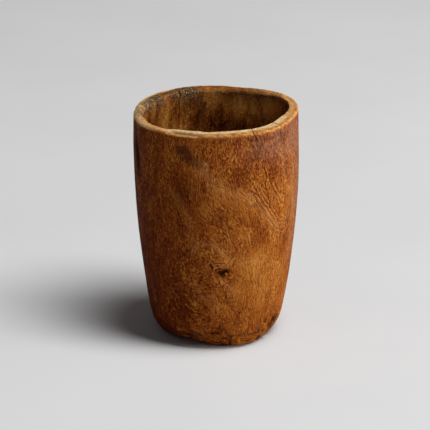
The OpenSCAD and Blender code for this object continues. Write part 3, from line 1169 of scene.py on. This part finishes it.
def build_floor_leather():
    low, high = LEATHER_LOW[2], LEATHER_HIGH[2]
    middle = high - LEATHER_SPARE
    flat = LEATHER_RADIUS - LEATHER_HIGH_EDGE[-1][0]
    section = [(0, low)] + [(LEATHER_RADIUS * t, low) for t in (0.35, 0.7, 0.96)]
    section += [(LEATHER_RADIUS - inwards, low + up) for inwards, up in LEATHER_LOW_EDGE]
    section += [(LEATHER_RADIUS - inwards, middle + up) for inwards, up in LEATHER_HIGH_EDGE]
    section += [(flat * t, middle) for t in np.linspace(1, 0, 44)[1:]]

    def relief(points, turn, radius):
        """Hollows knocked by dice, soft creases and an edge that curls up a little."""
        depth, size, seed, width = LEATHER_CREASE
        crease = depth * np.exp(-((noise(points, size, seed) / width) ** 2))
        curl = LEATHER_CURL * smoothstep(LEATHER_RADIUS - 7, LEATHER_RADIUS - 0.5, radius)
        curl = curl * (0.55 + 0.45 * np.sin(np.radians(3 * turn + 40)))
        top = points[:, 2] + layered(LEATHER_HOLLOWS, points) - crease + curl
        z = np.where(points[:, 2] > middle - 0.01, np.minimum(top, high), points[:, 2])
        return np.column_stack([points[:, :2], z])

    return sharpen(disc_solid("floor_leather_worn", section, relief), 60)


def build_peg(number, angle):
    """A whittled peg: slightly faceted, bruised and domed at its outer end."""
    along_peg, _ = peg_axes(angle)
    inner, outer = peg_reach(number, angle)
    turn = np.linspace(0, 2 * math.pi, PEG_SIDES, endpoint=False)
    radius = PEG_RADIUS * (1 - PEG_FACET_DEPTH * (1 + np.cos(PEG_FACETS * turn + number)))
    section = [(inner + inwards, share) for inwards, share in PEG_INNER_END]
    section += [(x, 1.0) for x in np.linspace(inner + 1.2, outer - 0.6, 9)]
    section += [(outer - inwards, share) for inwards, share in PEG_OUTER_END]
    rings = []
    for x, share in section:
        points = peg_ring(angle, radius * share, x, PEG_SIDES)
        bruise = PEG_BRUISE * (noise(points, 0.7, 80 + number) - 1) * (share < 0.95)
        rings.append(points + bruise[:, None] * along_peg * (1 if x > inner + 2 else -1))
    ends = [along_peg * x + UP * PEG_HEIGHT for x in (inner + 0.02, outer - 0.02)]
    return sharpen(capped_solid(f"peg_whittled_{number}", rings, ends), 50)


# ---------------------------------------------------------------- materials


class Paint:
    def __init__(self, name):
        self.material = bpy.data.materials.new(name)
        self.material.use_nodes = True
        self.tree = self.material.node_tree
        self.tree.nodes.clear()

    def node(self, kind, inputs=(), **settings):
        made = self.tree.nodes.new(kind)
        for key, value in settings.items():
            setattr(made, key, value)
        for key, value in dict(inputs).items():
            self.give(made.inputs[key], value)
        return made

    def give(self, socket, value):
        if isinstance(value, bpy.types.NodeSocket):
            self.tree.links.new(value, socket)
        elif isinstance(value, (tuple, list)) and socket.type == "RGBA":
            socket.default_value = (*value, 1)
        else:
            socket.default_value = value

    def field(self, name, output="Fac"):
        return self.node("ShaderNodeAttribute", attribute_name=name).outputs[output]

    def place(self):
        """The point in mm, in the cup's frame."""
        coordinates = self.node("ShaderNodeTexCoord").outputs["Object"]
        return self.stretch(coordinates, (1 / MM,) * 3)

    def stretch(self, vector, by):
        return self.node("ShaderNodeVectorMath", {0: vector, 1: by}, operation="MULTIPLY").outputs[0]

    def math(self, operation, a, b=0.0):
        return self.node("ShaderNodeMath", {0: a, 1: b}, operation=operation).outputs[0]

    def times(self, value, *factors):
        for factor in factors:
            value = self.math("MULTIPLY", value, factor)
        return value

    def off_middle(self, value):
        return self.math("SUBTRACT", value, 0.5)

    def off_line(self, value, line=None):
        """Distance from a line, or from 0."""
        return self.math("ABSOLUTE", value if line is None else self.math("SUBTRACT", value, line))

    def total(self, *terms, start=0.0):
        """Weighted sum of (value, weight) terms."""
        result = start
        for value, weight in terms:
            inputs = {0: value, 1: weight, 2: result}
            result = self.node("ShaderNodeMath", inputs, operation="MULTIPLY_ADD").outputs[0]
        return result

    def noise(self, vector, size, detail=2.0, rough=0.5, distortion=0.0):
        """Noise in 0..1 with features about `size` mm across: one size, or one an axis."""
        sizes = size if isinstance(size, tuple) else (size,) * 3
        scaled = self.stretch(vector, tuple(1 / s for s in sizes))
        inputs = {"Vector": scaled, "Scale": 1.0, "Detail": detail, "Roughness": rough}
        inputs["Distortion"] = distortion
        return self.node("ShaderNodeTexNoise", inputs).outputs["Fac"]

    def between(self, value, low, high, to_low=0.0, to_high=1.0):
        """Value in low..high spread smoothly over to_low..to_high, and held there."""
        inputs = {"Value": value, "From Min": low, "From Max": high, "To Min": to_low, "To Max": to_high}
        return self.node("ShaderNodeMapRange", inputs, interpolation_type="SMOOTHSTEP").outputs[0]

    def ramp(self, value, stops):
        """A colour ramp from (place, colour) stops."""
        made = self.node("ShaderNodeValToRGB", {0: value})
        elements = made.color_ramp.elements
        while len(elements) < len(stops):
            elements.new(0.5)
        for element, (place, colour) in zip(elements, stops):
            element.position = place
            element.color = (*colour, 1)
        return made.outputs["Color"]

    def mix(self, amount, a, b, blend="MIX"):
        made = self.node("ShaderNodeMix", data_type="RGBA", blend_type=blend)
        for key, value in (("Factor_Float", amount), ("A_Color", a), ("B_Color", b)):
            self.give(next(s for s in made.inputs if s.identifier == key), value)
        return next(s for s in made.outputs if s.identifier == "Result_Color")

    def tint(self, colour, towards, *amounts):
        """Colour taken towards another by the product of some amounts."""
        return self.mix(self.times(*amounts), colour, towards)

    def shade(self, colour, by):
        """Colour times a number."""
        grey = self.node("ShaderNodeCombineColor", {0: by, 1: by, 2: by}).outputs[0]
        return self.mix(1.0, colour, grey, "MULTIPLY")

    def finish(self, colour, roughness, relief, relief_mm, **uniform):
        """Puts the surface together, with a relief that is so many mm high."""
        height = {"Height": relief, "Distance": relief_mm * MM, "Strength": 1.0}
        normal = self.node("ShaderNodeBump", height).outputs[0]
        inputs = {"Base Color": colour, "Roughness": roughness, "Normal": normal}
        shader = self.node("ShaderNodeBsdfPrincipled", inputs)
        for key, value in uniform.items():
            shader.inputs[key.replace("_", " ")].default_value = value
        output = self.node("ShaderNodeOutputMaterial")
        self.tree.links.new(shader.outputs[0], output.inputs["Surface"])
        return self.material


# Noise is (size, detail, roughness, distortion), and its later values can be left out.
# The wood's grain, along the flow
GRAIN = {
    "blotch": ((8, 8, 13), 5, 0.6),
    "broad": ((26, 26, 44), 2, 0.5),
    "band": ((3.2, 3.2, 30), 3, 0.55),
    "streak": ((0.9, 0.9, 9), 3, 0.6),
    "speck": ((0.44, 0.44, 1.35), 3, 0.68, 0.9),
    "pore": ((0.28, 0.28, 2.4), 2, 0.5),
}
GRAIN_WEIGHTS = {"blotch": 0.85, "broad": 0.4, "band": 0.45, "streak": 0.5}
SPECK_WEIGHT = 2.6
ROUGH_PATCHES = ((7, 7, 10), 3)
# Thin wandering threads, each with a shadow beside it
THREADS = ((1.5, 1.5, 5.5), 2.5, 0.6, 0.8)
THREAD_WIDTH = 0.045
THREAD_SHADOW = 0.06
THREAD_WEIGHT = 0.2
VEIL_BREAKS = ((1.6, 1.6, 7), 3, 0.6)
VEIL_WEIGHT = 0.2
BLOOM_AND_SHEEN_BREAKS = ((2.5, 2.5, 7), 4, 0.65)
OUTER_TONE_AND_SHADE = 0.26
OUTER_LIGHTNESS = 0.46

INNER_GRAIN = ((6, 6, 16), 5, 0.6)
INNER_WEIGHTS = (0.3, 1.9, 2.4)  # tone with painted light and shade, grain, speck
INNER_LIGHTNESS = 0.44

FIGURE_PITCH = 1.7
FIGURE_WANDER = 1.6
FIGURE_BREAKS = ((2.0, 2.0, 2.6), 3, 0.6)
FIBRE_WOBBLE = 0.6
FIBRE_SHADOW = 0.5  # mm beside the fibre

STAIN_AND_SHADE_EDGE = ((1.8, 1.8, 2.4), 4, 0.65)
STAIN_AND_SHADE_EDGE_WEIGHT = 1.3
BARE_PATCHES = ((2.0, 2.0, 1.2), 4, 0.65)
FRESH_PATCHES = (1.6, 3, 0.6)
MOTTLE = (0.8, 3, 0.7)
WOOD_RELIEF = 0.32
WOOD_SHINE = 0.02

# Colours along a ramp: (place, colour)
OUTER_WOOD = [
    (0.0, (0.085, 0.012, 0.002)),
    (0.25, (0.19, 0.036, 0.005)),
    (0.5, (0.325, 0.083, 0.010)),
    (0.75, (0.45, 0.140, 0.018)),
    (1.0, (0.62, 0.25, 0.050)),
]
INNER_WOOD = [
    (0.0, (0.055, 0.009, 0.001)),
    (0.25, (0.17, 0.042, 0.006)),
    (0.5, (0.33, 0.10, 0.016)),
    (0.75, (0.54, 0.20, 0.03)),
    (1.0, (0.84, 0.38, 0.085)),
]
BARE_WOOD = [(0.28, (0.27, 0.09, 0.02)), (0.46, (0.64, 0.26, 0.065)), (0.66, (0.88, 0.44, 0.15))]
FRESH_WOOD = [(0.3, (0.72, 0.38, 0.13)), (0.56, (1.0, 0.73, 0.39))]
MOULDY_WOOD = [
    (0.36, (0.018, 0.011, 0.007)),
    (0.49, (0.085, 0.056, 0.03)),
    (0.59, (0.24, 0.17, 0.09)),
    (0.7, (0.62, 0.50, 0.32)),
]
VEIL_COLOUR = (0.58, 0.26, 0.09)
# Greyer, pinker colour of the painted sheen down the right edge and of the patches near the rim
BLOOM_AND_SHEEN_COLOUR = (0.36, 0.155, 0.088)
FIGURE_DARK = (0.11, 0.026, 0.006)
FIGURE_LIGHT = (0.70, 0.30, 0.08)
FIBRE_DARK = (0.09, 0.022, 0.006)
FIBRE_LIGHT = (0.80, 0.36, 0.11)
STAIN_AND_SHADE_COLOUR = (0.066, 0.012, 0.006)
CHIP_COLOUR = (0.95, 0.72, 0.50)
# Painted shade in the slit behind the sliver
SLIT_SHADE_COLOUR = (0.15, 0.065, 0.015)
# Near-black: painted shade in the checks, the knot's hollow and the groove at the left, and the knot's own
# dark wood
KNOT_AND_SHADE_COLOUR = (0.024, 0.005, 0.003)


def shared_grain(p):
    """The places and the noise that several layers of the wood use."""
    flow = p.field("flow", "Vector")
    side = p.off_middle(p.noise(flow, *THREADS))
    shared = {name: p.noise(flow, *layer) for name, layer in GRAIN.items()}
    shared["thread"] = p.between(p.off_line(side), THREAD_WIDTH, 0.0)
    shared["thread_shadow"] = p.between(p.off_line(side, THREAD_SHADOW), THREAD_WIDTH, 0.0)
    return shared | {"flow": flow, "here": p.place()}


def outer_wood(p, g):
    """Red-brown wood with threads, paler bands, and a greyer, pinker colour: painted sheen down the right
    edge, with patches near the rim.
    """
    rough = p.times(p.between(p.noise(g["here"], *ROUGH_PATCHES), 0.35, 0.65, 0.7, 1.2), p.field("rough"))
    veil = p.times(p.field("veil"), p.between(p.noise(g["flow"], *VEIL_BREAKS), 0.36, 0.6, 0.25, 1.0))
    terms = [(p.field("tone_light_and_shade"), OUTER_TONE_AND_SHADE)]
    terms += [(p.off_middle(g[name]), weight) for name, weight in GRAIN_WEIGHTS.items()]
    terms += [(p.times(p.off_middle(g["speck"]), rough), SPECK_WEIGHT)]
    terms += [(g["thread"], THREAD_WEIGHT), (g["thread_shadow"], -THREAD_WEIGHT), (veil, VEIL_WEIGHT)]
    colour = p.ramp(p.total(*terms, start=OUTER_LIGHTNESS), OUTER_WOOD)
    colour = p.shade(colour, p.between(g["pore"], 0.3, 0.55, 0.78, 1.05))
    colour = p.tint(colour, VEIL_COLOUR, veil, 0.34)
    # Painted sheen down the right edge, and greyer, pinker patches near the rim at the front
    bloom_and_sheen = p.shade(BLOOM_AND_SHEEN_COLOUR, p.between(g["speck"], 0.36, 0.62, 0.58, 1.36))
    broken = p.between(p.noise(g["flow"], *BLOOM_AND_SHEEN_BREAKS), 0.3, 0.6, 0.3, 0.85)
    return p.tint(colour, bloom_and_sheen, p.field("bloom_and_sheen"), broken)


def add_figure(p, g, colour):
    """Curved lines of the swirl and round the knot. Returns the colour, and where it is light and dark."""
    wander = p.times(p.off_middle(p.noise(g["here"], 3.5, 2)), FIGURE_WANDER)
    wave = p.math("SINE", p.times(p.math("ADD", p.field("figure"), wander), 2 * math.pi / FIGURE_PITCH))
    shown = p.times(p.field("figure_on"), p.between(p.noise(g["here"], *FIGURE_BREAKS), 0.34, 0.52))
    light = p.times(p.between(wave, 0.3, 0.95), shown)
    dark = p.times(p.between(wave, -0.3, -0.95), shown)
    colour = p.tint(colour, FIGURE_DARK, dark, 0.28)
    return p.tint(colour, FIGURE_LIGHT, light, 0.62), light, dark


def add_fibres(p, g, colour):
    """Light fibres with a shadow beside them. Returns the colour, and where it is light and dark."""
    wobble = p.times(p.off_middle(p.noise(g["here"], 1.3, 2)), FIBRE_WOBBLE)
    line = p.math("ADD", p.field("fibre"), wobble)
    shown = p.field("fibre_on")
    broken = p.between(p.noise(g["here"], 2.2, 2), 0.35, 0.6, 0.35, 1.0)
    light = p.times(p.between(p.off_line(line), 0.3, 0.05), shown, broken)
    dark = p.times(p.between(p.off_line(line, FIBRE_SHADOW), 0.4, 0.1), shown)
    colour = p.tint(colour, FIBRE_DARK, dark, 0.45)
    return p.tint(colour, FIBRE_LIGHT, light, 0.52), light, dark


def inner_wood(p, g):
    """The golden, coarsely figured wood inside the mouth."""
    values = (p.field("tone_light_and_shade"), p.off_middle(p.noise(g["flow"], *INNER_GRAIN)), p.off_middle(g["speck"]))
    return p.ramp(p.total(*zip(values, INNER_WEIGHTS), start=INNER_LIGHTNESS), INNER_WOOD)


# Dark stains and marks, with painted shade in the left groove, down the left edge and in the heel's creases
def add_stains_and_shade(p, g, colour):
    stain_and_shade = p.field("stain_and_shade")
    edge = p.total((stain_and_shade, 1.0), (p.off_middle(p.noise(g["here"], *STAIN_AND_SHADE_EDGE)), STAIN_AND_SHADE_EDGE_WEIGHT))
    stained_and_shaded = p.times(p.between(edge, 0.05, 0.85), p.between(stain_and_shade, 0.02, 0.25))
    return p.tint(colour, STAIN_AND_SHADE_COLOUR, stained_and_shaded, 0.72)


def add_wear(p, g, colour):
    """Bare wood where the rim is worn, and cream wood where it is freshly broken."""
    bare = p.ramp(p.noise(g["here"], *BARE_PATCHES), BARE_WOOD)
    bare = p.shade(bare, p.between(g["speck"], 0.3, 0.52, 0.6, 1.05))
    colour = p.tint(colour, bare, p.field("wear"))
    fresh = p.ramp(p.noise(g["here"], *FRESH_PATCHES), FRESH_WOOD)
    return p.tint(colour, fresh, p.field("cream"), p.between(g["speck"], 0.32, 0.5, 0.75, 1.0))


def add_marks(p, g, colour, mottle):
    """Mould, pale chips, painted shade in the slit behind the sliver, the checks and the groove at the left,
    and the knot's dark wood with painted shade in its hollow.
    """
    mouldy = p.ramp(mottle, MOULDY_WOOD)
    colour = p.tint(colour, mouldy, p.field("mould"), p.between(p.noise(g["here"], 2.4, 3), 0.3, 0.5))
    colour = p.tint(colour, CHIP_COLOUR, p.field("pale"), 0.8)
    # Painted shade in the slit behind the sliver
    colour = p.tint(colour, SLIT_SHADE_COLOUR, p.field("slit"), 0.92)
    return p.tint(colour, KNOT_AND_SHADE_COLOUR, p.field("dark"))


def trunk_wood():
    p = Paint("trunk_wood")
    g = shared_grain(p)
    mottle = p.noise(g["here"], *MOTTLE)
    colour, figure_light, figure_dark = add_figure(p, g, outer_wood(p, g))
    colour, fibre_light, fibre_dark = add_fibres(p, g, colour)
    colour = p.tint(colour, inner_wood(p, g), p.field("inside"))
    colour = add_marks(p, g, add_wear(p, g, add_stains_and_shade(p, g, colour)), mottle)
    wear, mould = p.field("wear"), p.field("mould")
    roughness = p.total((p.between(g["speck"], 0.3, 0.7, 0.72, 0.55), 1.0), (wear, 0.2), (mould, 0.25))
    relief = p.total(
        (g["speck"], 0.7),
        (g["streak"], 0.5),
        (g["pore"], 0.4),
        (g["thread"], 0.3),
        (g["thread_shadow"], -0.3),
        (fibre_light, 0.5),
        (fibre_dark, -0.5),
        (figure_light, 0.45),
        (figure_dark, -0.35),
        (p.times(mottle, mould), 1.0),
    )
    return p.finish(colour, roughness, relief, WOOD_RELIEF, Specular_IOR_Level=WOOD_SHINE)


PITH = (7.0, -4.0, 0.0)  # from the pith to the disc's middle
RING_PITCH = 3.6  # radians a mm
RING_BEND = 5.0
END_GRAIN = [(0.3, (0.10, 0.042, 0.016)), (0.5, (0.19, 0.085, 0.032)), (0.72, (0.30, 0.15, 0.06))]


def base_wood():
    """End grain with dirt in it: rings round a pith that is off centre."""
    p = Paint("base_wood")
    here = p.place()
    bend = p.times(p.noise(here, 14, 2), RING_BEND)
    centred = p.node("ShaderNodeVectorMath", {0: here, 1: PITH}, operation="ADD").outputs[0]
    flat = p.stretch(centred, (1, 1, 0))
    from_pith = p.node("ShaderNodeVectorMath", {0: flat}, operation="LENGTH").outputs["Value"]
    rings = p.math("SINE", p.times(p.math("ADD", from_pith, bend), RING_PITCH))
    fine = p.noise(here, 0.5, 3, 0.6)
    colour = p.ramp(p.noise(here, 8, 4, 0.6), END_GRAIN)
    colour = p.shade(colour, p.between(rings, -1, 1, 0.72, 1.12))
    colour = p.shade(colour, p.between(fine, 0.3, 0.6, 0.7, 1.08))
    relief = p.math("ADD", p.times(rings, 0.25), fine)
    return p.finish(colour, p.between(fine, 0.3, 0.7, 0.85, 0.62), relief, 0.12, Specular_IOR_Level=0.35)


PEG_COLOURS = [(0.3, (0.09, 0.03, 0.008)), (0.55, (0.20, 0.066, 0.014)), (0.75, (0.34, 0.13, 0.03))]


def peg_wood():
    p = Paint("peg_wood")
    here = p.place()
    fine = p.noise(here, 0.35, 3, 0.6)
    colour = p.ramp(p.noise(here, 1.1, 3), PEG_COLOURS)
    colour = p.shade(colour, p.between(fine, 0.3, 0.6, 0.7, 1.1))
    return p.finish(colour, p.between(fine, 0.3, 0.7, 0.8, 0.55), fine, 0.1, Specular_IOR_Level=0.4)


LEATHER_CELLS = {"Scale": 1.35, "Randomness": 0.9}
LEATHER_COLOURS = [(0.3, (0.055, 0.024, 0.012)), (0.5, (0.12, 0.054, 0.025)), (0.7, (0.2, 0.1, 0.05))]
SCUFF_COLOUR = (0.30, 0.18, 0.1)


def worn_leather():
    """Vegetable-tanned leather: pebbled grain, dark between the pebbles and scuffed pale in places."""
    p = Paint("floor_leather")
    here = p.place()
    cells = p.node("ShaderNodeTexVoronoi", {"Vector": here, **LEATHER_CELLS}, feature="DISTANCE_TO_EDGE")
    pebble = p.between(cells.outputs["Distance"], 0.02, 0.2)
    scuff = p.between(p.noise(here, (2.5, 1.2, 2), 4, 0.65), 0.5, 0.68)
    colour = p.ramp(p.noise(here, 9, 4, 0.6), LEATHER_COLOURS)
    colour = p.shade(colour, p.between(pebble, 0, 1, 0.55, 1.08))
    colour = p.tint(colour, SCUFF_COLOUR, scuff, 0.4)
    relief = p.math("ADD", p.times(pebble, 0.7), p.times(p.noise(here, 0.4, 3), 0.5))
    return p.finish(colour, p.between(scuff, 0, 1, 0.5, 0.75), relief, 0.14, Specular_IOR_Level=0.45)


FLOOR_COLOURS = [(0.3, (0.80, 0.80, 0.805)), (0.7, (0.83, 0.83, 0.83))]


def floor_paint():
    p = Paint("floor")
    here = p.place()
    colour = p.ramp(p.noise(here, 90, 3), FLOOR_COLOURS)
    roughness = p.between(p.noise(here, 2, 2), 0.3, 0.7, 0.8, 0.9)
    return p.finish(colour, roughness, p.noise(here, 1.2, 2), 0.01)


# ---------------------------------------------------------------- floor and light

# Metres and watts
FLOOR_HALF = 3.0
WORLD_STRENGTH = 0.07
WHITE = (1.0, 1.0, 1.0, 1)
LIGHT_DISTANCE = 2.5
KEY_LIGHT = {"azimuth": -27.5, "elevation": 65.7, "width": 0.9, "height": 1.97, "power": 54}
SIDE_LIGHT = {"azimuth": -8, "elevation": 6, "width": 0.9, "height": 0.4, "power": 40}


def add_stage():
    corners = np.array([[-1, -1, 0], [1, -1, 0], [1, 1, 0], [-1, 1, 0]])
    floor = new_object("floor", corners * FLOOR_HALF / MM, [(0, 1, 2, 3)])
    floor.data.materials.append(floor_paint())


def add_area_light(name, azimuth, elevation, width, height, power):
    """An oval soft light that faces the cup's middle."""
    data = bpy.data.lights.new(name, "AREA")
    data.shape = "ELLIPSE"
    data.size, data.size_y = width, height
    data.energy = power
    light = bpy.data.objects.new(name, data)
    light.visible_camera = False
    a, e = math.radians(azimuth), math.radians(elevation)
    away = Vector((math.cos(a) * math.cos(e), math.sin(a) * math.cos(e), math.sin(e)))
    light.location = Vector((0, 0, HEIGHT / 2 * MM)) + away * LIGHT_DISTANCE
    light.rotation_euler = (-away).to_track_quat("-Z", "Y").to_euler()
    bpy.context.scene.collection.objects.link(light)
    return data


def add_light():
    world = bpy.data.worlds.new("studio")
    world.use_nodes = True
    background = world.node_tree.nodes["Background"]
    background.inputs["Color"].default_value = WHITE
    background.inputs["Strength"].default_value = WORLD_STRENGTH
    bpy.context.scene.world = world
    add_area_light("key", **KEY_LIGHT)
    side = add_area_light("side", **SIDE_LIGHT)
    side.cycles.max_bounces = 0
    bpy.context.scene.view_settings.view_transform = "Standard"
    bpy.context.scene.view_settings.look = "None"


# ---------------------------------------------------------------- the cup, put together


def put(piece, material, slot, *nodes):
    piece.data.materials.clear()
    piece.data.materials.append(material)
    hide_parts(*nodes)
    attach(piece, BODY)


put(build_trunk_wall(), trunk_wood(), "trunk_wood", "trunk_wall")
put(build_base_disc(), base_wood(), "base_wood", "base_disc")
put(build_floor_leather(), worn_leather(), "floor_leather", "floor_leather")
peg_material = peg_wood()
for number, angle in enumerate(peg_angles(), start=1):
    put(build_peg(number, angle), peg_material, "peg_wood", f"base_peg_{number}")

add_stage()
add_light()
